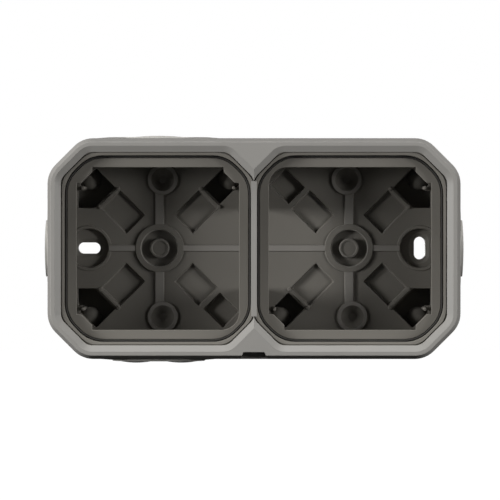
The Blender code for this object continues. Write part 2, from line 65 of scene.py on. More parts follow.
# Camera. It looks straight at the open front from about 1.7 m through a long lens, from a little to the
# right and a little above, and is aimed so that the box lands where the photograph has it.
IMAGE_PIXELS = 500
PIXELS_PER_METRE = 2719.0  # at the rim
BOX_PIXEL_X = 253.9
BOX_PIXEL_Y = 248.75
CAMERA_DISTANCE = 1.685
CAMERA_RIGHT = 0.0072
CAMERA_ABOVE = 0.012
SENSOR_MM = 36.0

rim_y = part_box("box_body")[0][1]
eye = Vector((CAMERA_RIGHT, rim_y - CAMERA_DISTANCE, CAMERA_ABOVE))
aim_x = (IMAGE_PIXELS / 2 - BOX_PIXEL_X) / PIXELS_PER_METRE
aim_z = (BOX_PIXEL_Y - IMAGE_PIXELS / 2) / PIXELS_PER_METRE
lens = bpy.data.cameras.new("camera")
lens.sensor_width = SENSOR_MM
lens.lens = SENSOR_MM * CAMERA_DISTANCE * PIXELS_PER_METRE / IMAGE_PIXELS
camera = bpy.data.objects.new("camera", lens)
camera.location = eye
camera.rotation_euler = (Vector((aim_x, rim_y, aim_z)) - eye).to_track_quat("-Z", "Y").to_euler()
scene.collection.objects.link(camera)
scene.camera = camera

# Box body. One moulding in grey ABS: a deep box with a bevelled rim round two square mouths, a seating
# flange in each, and a raised floor with ribs, hubs, pockets, sockets and fixing slots. It is moulded in
# one shot, with small radii on its edges, and it is screwed to the wall through the slots.
GANG_PITCH = 71.0
RIM_SIZE = 81.7
BOX_DEPTH = 43.0
WALL = 2.5
FLOOR = 11.4
CORNER_LEG = 12.8
CORNER_RADIUS = 10.0
HALF_HEIGHT = RIM_SIZE / 2
HALF_WIDTH = (GANG_PITCH + RIM_SIZE) / 2
GANGS = {"left": -1, "right": 1}
CORNERS = ((1, 1), (-1, 1), (-1, -1), (1, -1))
PLAIN_CORNER = {"left": (1, -1), "right": (-1, 1)}

# The working solids: how finely they are drawn, and how far they run past the faces that they meet.
CORNER_STEPS = 6
EDGE_STEPS = 4
ROUND_STEPS = 72
OVERCUT = 1.0
EMBED = 1.0
FLAT_RUN = 1.0  # the level run at the end of a profile
FORM_EDGE = 0.3
FORM_FOOT = 0.2
HAIR = 1e-4
MERGE_DISTANCE = 0.002
SLIVER = 0.001
SHARP_ANGLE = math.radians(25)
MM_PER_METRE = 1000
ROOT_TWO = math.sqrt(2)
CUT_SHRINK = 2 - ROOT_TWO  # a 45 degree cut shortens by this share of an inset
QUARTER = [math.pi / 2 * step / EDGE_STEPS for step in range(EDGE_STEPS + 1)]
STAND = Matrix.Rotation(math.pi / 2, 4, "X") @ Matrix.Scale(1 / MM_PER_METRE, 4)


def rounded(corners, steps, closed=True):
    """The line through corners of (x, y, radius), with an arc at each that has a radius."""
    points = []
    for index, (x, y, radius) in enumerate(corners):
        corner = Vector((x, y))
        if radius == 0 or (not closed and index in (0, len(corners) - 1)):
            points.append(corner)
            continue
        way_in = (corner - Vector(corners[index - 1][:2])).normalized()
        way_out = (Vector(corners[(index + 1) % len(corners)][:2]) - corner).normalized()
        turn = math.atan2(way_in.cross(way_out), way_in.dot(way_out))
        start = corner - way_in * radius * math.tan(abs(turn) / 2)
        centre = start + way_in.orthogonal() * math.copysign(radius, turn)
        for step in range(steps + 1):
            points.append(centre + Matrix.Rotation(turn * step / steps, 2) @ (start - centre))
    return points


def cut_corner_outline(half_width, half_height, leg, radius):
    """A rectangle whose corners are cut at 45 degrees and then rounded."""
    corners = []
    for across, up in CORNERS:
        x = across * half_width
        y = up * half_height
        cut = [(x, y - up * leg, radius), (x - across * leg, y, radius)]
        corners.extend(cut if across == up else reversed(cut))
    return rounded(corners, CORNER_STEPS)


def box_outline(inset):
    """The outline of the whole box, drawn in all round by inset."""
    leg = CORNER_LEG - inset * CUT_SHRINK
    return cut_corner_outline(HALF_WIDTH - inset, HALF_HEIGHT - inset, leg, CORNER_RADIUS - inset)


def block_outline(length, width, radius):
    """A rectangle with round corners."""
    corners = [(across * length / 2, up * width / 2, radius) for across, up in CORNERS]
    return rounded(corners, CORNER_STEPS)


def circle_outline(radius):
    """A circle round the origin."""
    turns = [2 * math.pi * step / ROUND_STEPS for step in range(ROUND_STEPS)]
    return [Vector((radius * math.cos(turn), radius * math.sin(turn))) for turn in turns]


def slot_outline(length, width):
    """A slot shape along X with round ends."""
    corners = [(across * length / 2, up * width / 2, width / 2 - HAIR) for across, up in CORNERS]
    return rounded(corners, ROUND_STEPS // 4)


def moved(outline, x, y):
    """The same outline in another place."""
    return [point + Vector((x, y)) for point in outline]


def lofted(sections, ring=False):
    """A shape through flat sections of (height, outline), each extruded from the one before it.

    A ring's last section is its first one again, and closes it.
    """
    shape = bmesh.new()
    height, outline = sections[0]
    base = shape.faces.new([shape.verts.new((x, y, height)) for x, y in outline])
    cap = base
    for height, outline in sections[1:]:
        grown = bmesh.ops.extrude_face_region(shape, geom=[cap])["geom"]
        if cap != base:
            bmesh.ops.delete(shape, geom=[cap], context="FACES_ONLY")
        cap = next(item for item in grown if isinstance(item, bmesh.types.BMFace))
        for vertex, (x, y) in zip(cap.verts, outline):
            vertex.co = (x, y, height)
    if ring:
        bmesh.ops.delete(shape, geom=[base, cap], context="FACES_ONLY")
        bmesh.ops.remove_doubles(shape, verts=shape.verts, dist=HAIR)
    bmesh.ops.recalc_face_normals(shape, faces=shape.faces)
    return shape


def solid(shape, place=None):
    """A working solid for the joins and cuts below."""
    mesh = bpy.data.meshes.new("solid")
    shape.to_mesh(mesh)
    shape.free()
    mesh.transform(place or Matrix.Identity(4))
    item = bpy.data.objects.new("solid", mesh)
    scene.collection.objects.link(item)
    return item


def solid_at(x, y, sections):
    """A working solid through flat sections that are drawn round the origin and moved to (x, y)."""
    return solid(lofted([(height, moved(outline, x, y)) for height, outline in sections]))


def raised(x, y, low, high, outline_at):
    """A solid with a small radius at its foot and a rounded upper edge; outline_at gives its outline."""
    sections = [(low - EMBED, outline_at(-FORM_FOOT))]
    for turn in QUARTER:
        inset = -FORM_FOOT * (1 - math.sin(turn))
        sections.append((low + FORM_FOOT * (1 - math.cos(turn)), outline_at(inset)))
    for turn in QUARTER:
        inset = FORM_EDGE * (1 - math.cos(turn))
        sections.append((high - FORM_EDGE * (1 - math.sin(turn)), outline_at(inset)))
    return solid_at(x, y, sections)


def recess(x, y, low, high, taper, edge, outline_at):
    """A cutter with tapered sides that rounds the edge of what it cuts; outline_at gives its outline."""
    sections = [(low, outline_at(taper))]
    for turn in QUARTER:
        inset = edge * (math.cos(turn) - 1)
        sections.append((high - edge * (1 - math.sin(turn)), outline_at(inset)))
    sections.append((high + OVERCUT, outline_at(-edge)))
    return solid_at(x, y, sections)


def domed(x, y, radius, low, edge, rise):
    """A round form that stands straight up to its edge, and then rises as an arc of a sphere."""
    sphere = (radius * radius + rise * rise) / (2 * rise)
    steps = 2 * EDGE_STEPS
    sections = [(low, circle_outline(radius))]
    for step in range(steps):
        reach = radius * (1 - step / steps)
        height = edge + math.sqrt(sphere * sphere - reach * reach) - (sphere - rise)
        sections.append((height, circle_outline(reach)))
    return solid_at(x, y, sections)


def combined(item, operation, forms):
    """Joins forms to a working solid or cuts them out of it, and clears them away."""
    group = bpy.data.collections.new("forms")
    scene.collection.children.link(group)
    for form in forms:
        group.objects.link(form)
    modifier = item.modifiers.new("forms", "BOOLEAN")
    modifier.operation = operation
    modifier.solver = "MANIFOLD"
    modifier.operand_type = "COLLECTION"
    modifier.collection = group
    seen = item.evaluated_get(bpy.context.evaluated_depsgraph_get())
    mesh = bpy.data.meshes.new_from_object(seen)
    item.modifiers.clear()
    item.data = mesh
    for form in forms:
        bpy.data.objects.remove(form)
    bpy.data.collections.remove(group)
    return item


def finished(item, name, material, place=STAND):
    """Names a piece, stands it on the wall, and shades its small radii round and its edges crisp."""
    item.name = name
    shape = bmesh.new()
    shape.from_mesh(item.data)
    bmesh.ops.remove_doubles(shape, verts=shape.verts, dist=MERGE_DISTANCE)
    bmesh.ops.dissolve_degenerate(shape, edges=shape.edges, dist=SLIVER)
    shape.transform(place)
    bmesh.ops.recalc_face_normals(shape, faces=shape.faces)
    mesh = bpy.data.meshes.new(name)
    shape.to_mesh(mesh)
    shape.free()
    mesh.shade_smooth()
    mesh.set_sharp_from_angle(angle=SHARP_ANGLE)
    mesh.materials.append(material)
    item.data = mesh
    shading = item.modifiers.new("shading", "WEIGHTED_NORMAL")
    shading.keep_sharp = True
    return item


# Finishes of the plastic. A Mix node names several sockets alike, so its colour sockets go by number.
ROUGHNESS_SPREAD = 0.06
BUMP_STRENGTH = 0.5
MIX_FACTOR = 0
MIX_DARK = 6
MIX_LIGHT = 7
MIX_RESULT = 2


def linear(code):
    """An sRGB hex colour as the linear colour that the nodes take."""
    levels = [int(code[start:start + 2], 16) / 255 for start in (0, 2, 4)]
    return [level / 12.92 if level <= 0.04045 else ((level + 0.055) / 1.055) ** 2.4 for level in levels] + [1]


def add_node(tree, kind, settings, links):
    """Adds a node, sets its properties and inputs, and links inputs to other nodes' outputs."""
    node = tree.nodes.new(kind)
    for name, value in settings.items():
        if hasattr(node, name):
            setattr(node, name, value)
        else:
            node.inputs[name].default_value = value
    for name, output in links.items():
        tree.links.new(output, node.inputs[name])
    return node


def moulded_finish(name, light, dark, mottle_mm, grain_mm, grain_depth_mm, roughness, sheen):
    """A moulded surface: a faint cloudy tone from the flow in the mould, and a fine even grain."""
    material = bpy.data.materials.new(name)
    material.use_nodes = True
    tree = material.node_tree
    shader = tree.nodes["Principled BSDF"]
    shader.inputs["Specular IOR Level"].default_value = sheen
    place = add_node(tree, "ShaderNodeTexCoord", {}, {})
    cloud = add_node(
        tree, "ShaderNodeTexNoise", {"Scale": MM_PER_METRE / mottle_mm, "Detail": 3.0},
        {"Vector": place.outputs["Object"]}
    )
    grain = add_node(
        tree, "ShaderNodeTexNoise", {"Scale": MM_PER_METRE / grain_mm, "Detail": 2.0},
        {"Vector": place.outputs["Object"]}
    )
    tone = add_node(tree, "ShaderNodeMix", {"data_type": "RGBA"}, {MIX_FACTOR: cloud.outputs["Fac"]})
    tone.inputs[MIX_DARK].default_value = linear(dark)
    tone.inputs[MIX_LIGHT].default_value = linear(light)
    rough = add_node(
        tree, "ShaderNodeMapRange",
        {"To Min": roughness - ROUGHNESS_SPREAD, "To Max": roughness + ROUGHNESS_SPREAD},
        {"Value": grain.outputs["Fac"]}
    )
    bump = add_node(
        tree, "ShaderNodeBump", {"Strength": BUMP_STRENGTH, "Distance": grain_depth_mm / MM_PER_METRE},
        {"Height": grain.outputs["Fac"]}
    )
    tree.links.new(tone.outputs[MIX_RESULT], shader.inputs["Base Color"])
    tree.links.new(rough.outputs["Result"], shader.inputs["Roughness"])
    tree.links.new(bump.outputs["Normal"], shader.inputs["Normal"])
    return material


# ABS from a coarsely spark-eroded mould, on the side walls: an even mid grey, quite dull. The real grain
# is about 0.05 mm. Here and below it is drawn about ten times coarser, so that it shows.
matt_abs = moulded_finish(
    "matt_grey_abs", "8a8884", "858380",
    mottle_mm=14.0, grain_mm=0.5, grain_depth_mm=0.02, roughness=0.85, sheen=0.0
)
# The same grey on the front of the rim, from a finer mould: a satin sheen that lights up the bevels.
satin_abs = moulded_finish(
    "satin_grey_abs", "8d8b87", "888682",
    mottle_mm=14.0, grain_mm=0.5, grain_depth_mm=0.01, roughness=0.5, sheen=0.2
)
# The same plastic inside the box, with a smoother finish, in a darker and warmer grey: painted shade for the
# deep hollow.
shaded_inside_abs = moulded_finish(
    "grey_abs_painted_shade_inside", "73706a", "6e6b65",
    mottle_mm=14.0, grain_mm=0.8, grain_depth_mm=0.01, roughness=0.6, sheen=0.05
)
# The crowns of the ribs and bosses: a little lighter than the inside, with a little more sheen; the lighter
# grey is painted light where they stand up into the light.
lit_crown_abs = moulded_finish(
    "grey_abs_painted_light_crowns", "83807b", "7e7b76",
    mottle_mm=14.0, grain_mm=0.8, grain_depth_mm=0.01, roughness=0.5, sheen=0.1
)

# Mouths: front land, bevel, shadow line, lip, seat, seal groove and flange, from outside to inside.
FRONT_LAND = 2.95
BEVEL_WIDTH = 2.3
BEVEL_DROP = 1.6
BEVEL_FOOT_RADIUS = 0.25
LINE_WIDTH = 0.3
LINE_DEPTH = 0.5
LINE_RADIUS = 0.1
LIP_STEP = 0.6
LIP_WIDTH = 1.2
LEDGE_DROP = 0.3
LEDGE_RADIUS = 0.2
SEAT_RADIUS = 12.5
SEAT_DEPTH = 6.5
GROOVE_WIDTH = 0.95
GROOVE_DEPTH = 1.5
GROOVE_RADIUS = 0.2
FLANGE_WIDTH = 3.4
FLANGE_THICKNESS = 2.5
FLANGE_BREAK = 0.2
OPENING_RADIUS = 6.6
TAB_EDGE = 24.3
TAB_REACH = 37.2
TAB_BREAK = 0.3
LIP_INSET = FRONT_LAND + BEVEL_WIDTH
SEAT_INSET = LIP_INSET + LIP_WIDTH
OPENING_HALF = HALF_HEIGHT - SEAT_INSET - GROOVE_WIDTH - FLANGE_WIDTH
LIP_Z = BOX_DEPTH - BEVEL_DROP - LIP_STEP
SEAT_Z = BOX_DEPTH - SEAT_DEPTH
FLANGE_BACK_Z = SEAT_Z - FLANGE_THICKNESS


def mouth_outline(inset):
    """One gang's square, drawn in by inset: its corners are tight at the bevel and rounder at the seat."""
    share = min(max((inset - LIP_INSET) / LIP_WIDTH, 0.0), 1.0)
    radius = (1 - share) * (CORNER_RADIUS - inset) + share * (SEAT_RADIUS + SEAT_INSET - inset)
    half = HALF_HEIGHT - inset
    return cut_corner_outline(half, half, CORNER_LEG - inset * CUT_SHRINK, radius)


def opening_outline(plain_corner, inset):
    """The opening inside a flange: three corners with a slanting tab, and one plain round corner."""
    half = OPENING_HALF - inset
    edge = TAB_EDGE - inset
    reach = (TAB_REACH - inset) * ROOT_TWO - edge
    steps = ((half, edge), (reach, edge), (edge, reach), (edge, half))
    corners = []
    for across, up in CORNERS:
        if (across, up) == plain_corner:
            corners.append((across * half, up * half, OPENING_RADIUS - inset))
            continue
        tab = [(across * x, up * y, TAB_BREAK) for x, y in steps]
        corners.extend(tab if across == up else reversed(tab))
    return rounded(corners, CORNER_STEPS)


def mouth_cuts(gang, x):
    """The bevel, shadow line, lip, seat and seal groove round one mouth, and the opening in its flange."""
    flare = OVERCUT * BEVEL_WIDTH / BEVEL_DROP
    groove_z = SEAT_Z - GROOVE_DEPTH
    flange_edge = SEAT_INSET + GROOVE_WIDTH
    profile = (
        (FRONT_LAND - flare, BOX_DEPTH + OVERCUT, 0.0),
        (LIP_INSET, BOX_DEPTH - BEVEL_DROP, BEVEL_FOOT_RADIUS),
        (LIP_INSET, LIP_Z - LINE_DEPTH, LINE_RADIUS),
        (LIP_INSET + LINE_WIDTH, LIP_Z - LINE_DEPTH, LINE_RADIUS),
        (LIP_INSET + LINE_WIDTH, LIP_Z, LINE_RADIUS),
        (SEAT_INSET, LIP_Z - LEDGE_DROP, LEDGE_RADIUS),
        (SEAT_INSET, groove_z, GROOVE_RADIUS),
        (flange_edge, groove_z, GROOVE_RADIUS),
        (flange_edge, SEAT_Z, GROOVE_RADIUS),
        (flange_edge + FLAT_RUN, SEAT_Z, 0.0),
    )
    points = rounded(profile, EDGE_STEPS, closed=False)
    opening = recess(
        x, 0.0, FLANGE_BACK_Z - OVERCUT, SEAT_Z, 0.0, FLANGE_BREAK,
        lambda inset: opening_outline(PLAIN_CORNER[gang], inset)
    )
    return [solid_at(x, 0.0, [(z, mouth_outline(inset)) for inset, z in points]), opening]


# Walls: the outer shell with its front band, and the hollow behind the flanges.
FRONT_FILLET = 0.25
BACK_BREAK = 0.5
BAND_DEPTH = 8.0
BAND_OVERHANG = 1.45
BAND_DRAFT = 1.5
BAND_BREAK = 0.2
CAVITY_RADIUS = 0.8
CAVITY_INSET = BAND_OVERHANG + WALL
CAVITY_HALF = HALF_HEIGHT - CAVITY_INSET


def outer_shell():
    """The closed block that the box is cut from: walls, and a front band that leans in to its front edge."""
    band_z = BOX_DEPTH - BAND_DEPTH
    profile = (
        (BAND_OVERHANG + 2 * BACK_BREAK, 0.0, 0.0),
        (BAND_OVERHANG, 0.0, BACK_BREAK),
        (BAND_OVERHANG, band_z, BACK_BREAK),
        (0.0, band_z, BAND_BREAK),
        (BAND_DRAFT, BOX_DEPTH, FRONT_FILLET),
        (BAND_DRAFT + 2 * FRONT_FILLET, BOX_DEPTH, 0.0),
    )
    points = rounded(profile, EDGE_STEPS, closed=False)
    return solid(lofted([(z, box_outline(inset)) for inset, z in points]))


def cavity_cut():
    """The hollow behind the flanges, with a radius where the walls meet the floor."""
    profile = (
        (CAVITY_INSET + 2 * FLAT_RUN, FLOOR, 0.0),
        (CAVITY_INSET, FLOOR, CAVITY_RADIUS),
        (CAVITY_INSET, FLANGE_BACK_Z, CAVITY_RADIUS),
        (CAVITY_INSET + 2 * FLAT_RUN, FLANGE_BACK_Z, 0.0),
    )
    points = rounded(profile, EDGE_STEPS, closed=False)
    return solid(lofted([(z, box_outline(inset)) for inset, z in points]))


# Cable entries: a raised pad on each wall, with a stepped hole for its gland.
ENTRY_HEIGHT = 20.6
PAD_PROUD = 0.45
END_PAD_PROUD = 0.3
PAD_LENGTH = 49.0
END_PAD_LENGTH = 40.0
PAD_WIDTH = 23.4
PAD_RADIUS = 4.0
PAD_FOOT_TAPER = 1.8
PAD_TOP_TAPER = 4.2
PAD_SIDE_TAPER = 1.2
PAD_SHOULDER = 0.35
PAD_SHOULDER_RADIUS = 0.6
PAD_TOP_RADIUS = 2.0
PLATE_LENGTH = 34.6
PLATE_WIDTH = 20.4
END_PLATE_RADIUS = 10.8
PLATE_THICKNESS = 1.6
SPIGOT_INSET = 2.4
GLAND_CLEARANCE = 0.2


def entry_frames():
    """Where each gland sits: Z out through the wall, X along it, origin on the flat top of its pad."""
    places = {
        "top": (math.pi / 2, -GANG_PITCH / 2, HALF_HEIGHT + PAD_PROUD),
        "bottom": (-math.pi / 2, -GANG_PITCH / 2, -HALF_HEIGHT - PAD_PROUD),
        "left": (math.pi, -HALF_WIDTH - END_PAD_PROUD, 0.0),
        "right": (0.0, HALF_WIDTH + END_PAD_PROUD, 0.0),
    }
    frames = {}
    for side, (facing, x, y) in places.items():
        out = Vector((math.cos(facing), math.sin(facing), 0.0))
        along = Vector((-math.sin(facing), math.cos(facing), 0.0))
        turn = Matrix((along, Vector((0.0, 0.0, 1.0)), out)).transposed()
        frames[side] = Matrix.Translation((x, y, ENTRY_HEIGHT)) @ turn.to_4x4()
    return frames


def pad_rise(side):
    """The height of a pad above the wall that carries it."""
    return BAND_OVERHANG + (PAD_PROUD if side in ("top", "bottom") else END_PAD_PROUD)


def entry_pad(side, place):
    """The raised pad on the outside of a wall: steep up to its shoulder, then a long slope to a flat top."""
    length = PAD_LENGTH if side in ("top", "bottom") else END_PAD_LENGTH
    top_inset = PAD_FOOT_TAPER + PAD_TOP_TAPER
    profile = (
        (0.0, -pad_rise(side) - EMBED, 0.0),
        (0.0, -pad_rise(side), 0.0),
        (PAD_FOOT_TAPER, -PAD_SHOULDER, PAD_SHOULDER_RADIUS),
        (top_inset, 0.0, PAD_TOP_RADIUS),
        (top_inset + FLAT_RUN, 0.0, 0.0),
    )
    sections = []
    for inset, z in rounded(profile, EDGE_STEPS, closed=False):
        side_inset = inset
        if inset > PAD_FOOT_TAPER:
            side_inset = PAD_FOOT_TAPER + (inset - PAD_FOOT_TAPER) * PAD_SIDE_TAPER / PAD_TOP_TAPER
        sections.append((z, block_outline(length - 2 * inset, PAD_WIDTH - 2 * side_inset, PAD_RADIUS)))
    return solid(lofted(sections), place)


def plate_outline(side, inset):
    """The outline of a gland's plate, drawn in all round by inset."""
    if side in ("top", "bottom"):
        return slot_outline(PLATE_LENGTH - 2 * inset, PLATE_WIDTH - 2 * inset)
    return circle_outline(END_PLATE_RADIUS - inset)


def entry_cut(side, place):
    """The stepped hole for a gland: a recess for its plate and a way through for its spigot."""
    recess_outline = plate_outline(side, -GLAND_CLEARANCE)
    way = plate_outline(side, SPIGOT_INSET - GLAND_CLEARANCE)
    seat = -PLATE_THICKNESS - GLAND_CLEARANCE
    end = -pad_rise(side) - WALL - OVERCUT
    sections = [(OVERCUT, recess_outline), (seat, recess_outline), (seat, way), (end, way)]
    return solid(lofted(sections), place)


# Bridge between the gangs, the partition under it, and the pry notch below it.
BRIDGE_LENGTH = 50.0
BRIDGE_RADIUS = 0.3
BRIDGE_CLEARANCE = 0.02
BRIDGE_HALF = SEAT_INSET - HALF_HEIGHT + GANG_PITCH / 2
PARTITION = 2.4
PARTITION_RADIUS = 0.4
PASSAGE_WIDTH = 29.6
NOTCH_WIDTH = 10.3
NOTCH_TAPER = 1.3
NOTCH_RISE = 2.85
NOTCH_DEPTH = 7.2
NOTCH_RADIUS = 0.4


def bridge_bar():
    """The plain crest of the bridge, where the shadow lines of the two mouths would meet."""
    outline = block_outline(2 * (BRIDGE_HALF - BRIDGE_CLEARANCE), BRIDGE_LENGTH, BRIDGE_RADIUS)
    return solid(lofted([(LIP_Z - LINE_DEPTH - EMBED, outline), (LIP_Z, outline)]))


def partition(up):
    """The wall under the bridge, above or below the passage for wires."""
    length = CAVITY_HALF + EMBED - PASSAGE_WIDTH / 2
    outline = block_outline(PARTITION, length, PARTITION_RADIUS)
    sections = [(FLOOR - EMBED, outline), (FLANGE_BACK_Z + EMBED, outline)]
    return solid_at(0.0, up * (PASSAGE_WIDTH + length) / 2, sections)


def notch_cut():
    """The pry notch in the front edge of the rim, under the bridge."""
    foot = NOTCH_WIDTH / 2 + OVERCUT * NOTCH_TAPER / NOTCH_RISE
    head = NOTCH_WIDTH / 2 - NOTCH_TAPER
    low = -HALF_HEIGHT - OVERCUT
    high = -HALF_HEIGHT + NOTCH_RISE
    corners = ((-foot, low, 0), (foot, low, 0), (head, high, NOTCH_RADIUS), (-head, high, NOTCH_RADIUS))
    outline = rounded(corners, EDGE_STEPS)
    return solid(lofted([(BOX_DEPTH - NOTCH_DEPTH, outline), (BOX_DEPTH + OVERCUT, outline)]))


# Corners of the floor: sockets and pockets sunk on the diagonals, and the small forms at the sockets.
SOCKET_INNER = 27.8
SOCKET_LENGTH = 10.2
SOCKET_WIDTH = 8.6
SOCKET_FLOOR = 2.0
SOCKET_BREAK = 0.25
SOCKET_OUTER = SOCKET_INNER + SOCKET_LENGTH
PLAIN_SOCKET_DEPTH = 3.0
WELL_EDGE = 15.1
WELL_TOP = 21.5
WELL_REACH = 30.6
WELL_RADIUS = 0.5
POCKET_INNER = 12.7
POCKET_LENGTH = 13.1
POCKET_WIDTH = 9.8
POCKET_DEPTH = 1.8
POCKET_TAPER = 0.4
POCKET_RADIUS = 0.5
RIDGE_PLACE = 26.7
RIDGE_LENGTH = 9.6
RIDGE_WIDTH = 1.1
RIDGE_HEIGHT = 0.5
RIDGE_RADIUS = 0.2
PIP_RADIUS = 0.75
PIP_HEIGHT = 0.9
PEG_RADIUS = 0.65
PEG_X = 28.0
PEG_Y = 22.5
PEG_TOP = 30.0
POST_RADIUS = 4.1
POST_PLACE = 37.0
POST_DROP = 3.6
POST_CROWN = 2.4


def turned(outline, corner):
    """An outline drawn along X, turned onto the diagonal of one corner."""
    turn = Matrix.Rotation(math.atan2(corner[1], corner[0]), 2)
    return [turn @ point for point in outline]


def diagonal_outline(corner, inner, outer, width, radius, inset):
    """A rectangle along a gang's diagonal, between two distances from the centre."""
    outline = block_outline(outer - inner - 2 * inset, width - 2 * inset, radius)
    return turned(moved(outline, (inner + outer) / 2, 0.0), corner)


def socket_outline(corner, inset):
    """The plain socket in a corner beside the bridge."""
    return diagonal_outline(corner, SOCKET_INNER, SOCKET_OUTER, SOCKET_WIDTH, WELL_RADIUS, inset)


def well_outline(corner, inset):
    """The socket in a corner of the box: square on the diagonal, and widened towards the end wall."""
    across, up = corner
    half = SOCKET_WIDTH / 2 - inset
    inner = SOCKET_INNER + inset
    outer = SOCKET_OUTER - inset
    edge = WELL_EDGE + inset
    top = WELL_TOP - inset
    reach = WELL_REACH - inset
    corners = [
        ((inner - half) / ROOT_TWO, (inner + half) / ROOT_TWO),
        (inner * ROOT_TWO - edge, edge),
        (reach, edge),
        (reach, top),
        (top + half * ROOT_TWO, top),
        ((outer + half) / ROOT_TWO, (outer - half) / ROOT_TWO),
        ((outer - half) / ROOT_TWO, (outer + half) / ROOT_TWO),
    ]
    placed = [(across * x, up * y, WELL_RADIUS) for x, y in corners]
    return rounded(placed if across == up else placed[::-1], CORNER_STEPS)


def pocket_outline(corner, inset):
    """The shallow pocket between a socket and the hub."""
    outer = POCKET_INNER + POCKET_LENGTH
    return diagonal_outline(corner, POCKET_INNER, outer, POCKET_WIDTH, POCKET_RADIUS, inset)


def ridge_outline(corner, inset):
    """The low ridge that crosses a diagonal in front of its socket."""
    outline = block_outline(RIDGE_WIDTH - 2 * inset, RIDGE_LENGTH - 2 * inset, RIDGE_RADIUS)
    return turned(moved(outline, RIDGE_PLACE, 0.0), corner)


def corner_cuts(gang, x):
    """A deep socket in each corner of the floor, a shallow one at the plain corner, and the pockets."""
    cuts = []
    for corner in CORNERS:
        low, taper = SOCKET_FLOOR, 0.0
        if corner == PLAIN_CORNER[gang]:
            low, taper = FLOOR - PLAIN_SOCKET_DEPTH, POCKET_TAPER
        outline_at = well_outline if corner[0] == GANGS[gang] else socket_outline
        cuts.append(recess(x, 0.0, low, FLOOR, taper, SOCKET_BREAK, lambda inset: outline_at(corner, inset)))
        cuts.append(recess(
            x, 0.0, FLOOR - POCKET_DEPTH, FLOOR, POCKET_TAPER, SOCKET_BREAK,
            lambda inset: pocket_outline(corner, inset)
        ))
    return cuts


def corner_forms(gang, x):
    """At each corner with a socket: a ridge with two pips, a slim peg, and a round post in the socket."""
    forms = []
    for corner in CORNERS:
        if corner == PLAIN_CORNER[gang]:
            continue
        across, up = corner
        forms.append(raised(
            x, 0.0, FLOOR, FLOOR + RIDGE_HEIGHT, lambda inset: ridge_outline(corner, inset)
        ))
        for aside in (-RIDGE_LENGTH / 2, RIDGE_LENGTH / 2):
            pip_x = x + (across * RIDGE_PLACE - up * aside) / ROOT_TWO
            pip_y = (up * RIDGE_PLACE + across * aside) / ROOT_TWO
            forms.append(raised(
                pip_x, pip_y, FLOOR, FLOOR + PIP_HEIGHT, lambda inset: circle_outline(PIP_RADIUS - inset)
            ))
        forms.append(raised(
            x + across * PEG_X, up * PEG_Y, SOCKET_FLOOR, PEG_TOP,
            lambda inset: circle_outline(PEG_RADIUS - inset)
        ))
        forms.append(domed(
            x + across * POST_PLACE / ROOT_TWO, up * POST_PLACE / ROOT_TWO, POST_RADIUS,
            SOCKET_FLOOR - EMBED, FLOOR - POST_DROP - POST_CROWN, POST_CROWN
        ))
    return forms


# Middle of the floor: the hub, ribs, bosses and fixing slot of each gang.
HUB_RADIUS = 9.1
HUB_HEIGHT = 0.9
RING_RADIUS = 6.8
RING_DEPTH = 1.6
RING_EDGE_RADIUS = 0.2
RING_FOOT_RADIUS = 0.3
PIN_RADIUS = 3.7
DISH_RADIUS = 2.8
DISH_DEPTH = 0.4
DISH_BREAK = 0.2
UPRIGHT_RIB_HEIGHT = 0.8
UPRIGHT_RIB_WIDTH = 3.4
UPRIGHT_RIB_RADIUS = 0.5
LEVEL_RIB_HEIGHT = 0.7
LEVEL_RIB_WIDTH = 2.4
LEVEL_RIB_RADIUS = 0.4
BOSS_RADIUS = 5.8
BOSS_HEIGHT = 1.0
BOSS_SHIFT = 1.2
ODD_BOSS_SHIFT = -0.9
BOSS_OFFSET = 25.7
CONE_RADIUS = 4.2
CONE_TIP_RADIUS = 1.4
CONE_DEPTH = 2.8
CONE_BREAK = 0.2
FIXING_OFFSET = 26.5
FIXING_RADIUS = 7.3
FIXING_DEPTH = 2.0
FIXING_TAPER = 0.2
FIXING_RIM = 1.2
FIXING_RIM_HEIGHT = 0.4
SLOT_LENGTH = 8.5
SLOT_WIDTH = 4.2
SINK_WIDTH = 1.5
SINK_DEPTH = 0.8
SINK_FOOT_RADIUS = 0.2
SINK_EDGE_RADIUS = 0.3
SINK_RUN = 0.3
SINK_RISE = 0.2


def boss_place(gang, x, up):
    """The centre of a boss: one of the four sits on the other side of its rib."""
    shift = ODD_BOSS_SHIFT if (gang, up) == ("right", 1) else BOSS_SHIFT
    return x + shift, up * BOSS_OFFSET


def floor_forms(gang, x):
    """What stands on the floor of one gang: the hub, two ribs, two bosses and the fixing recess's rim."""
    outward = GANGS[gang]
    rib_end = x + outward * (FIXING_OFFSET - FIXING_RADIUS)
    rib_middle = (rib_end - outward * EMBED) / 2
    rib_length = abs(rib_end) + EMBED
    forms = [
        raised(x, 0.0, FLOOR, FLOOR + HUB_HEIGHT, lambda inset: circle_outline(HUB_RADIUS - inset)),
        raised(x, 0.0, FLOOR, FLOOR + UPRIGHT_RIB_HEIGHT, lambda inset: block_outline(
            UPRIGHT_RIB_WIDTH - 2 * inset, 2 * BOSS_OFFSET - 2 * inset, UPRIGHT_RIB_RADIUS
        )),
        raised(rib_middle, 0.0, FLOOR, FLOOR + LEVEL_RIB_HEIGHT, lambda inset: block_outline(
            rib_length - 2 * inset, LEVEL_RIB_WIDTH - 2 * inset, LEVEL_RIB_RADIUS
        )),
        raised(x + outward * FIXING_OFFSET, 0.0, FLOOR, FLOOR + FIXING_RIM_HEIGHT, lambda inset: (
            circle_outline(FIXING_RADIUS + FIXING_RIM - inset)
        )),
    ]
    for up in (1, -1):
        boss_x, boss_y = boss_place(gang, x, up)
        forms.append(raised(
            boss_x, boss_y, FLOOR, FLOOR + BOSS_HEIGHT, lambda inset: circle_outline(BOSS_RADIUS - inset)
        ))
    return forms


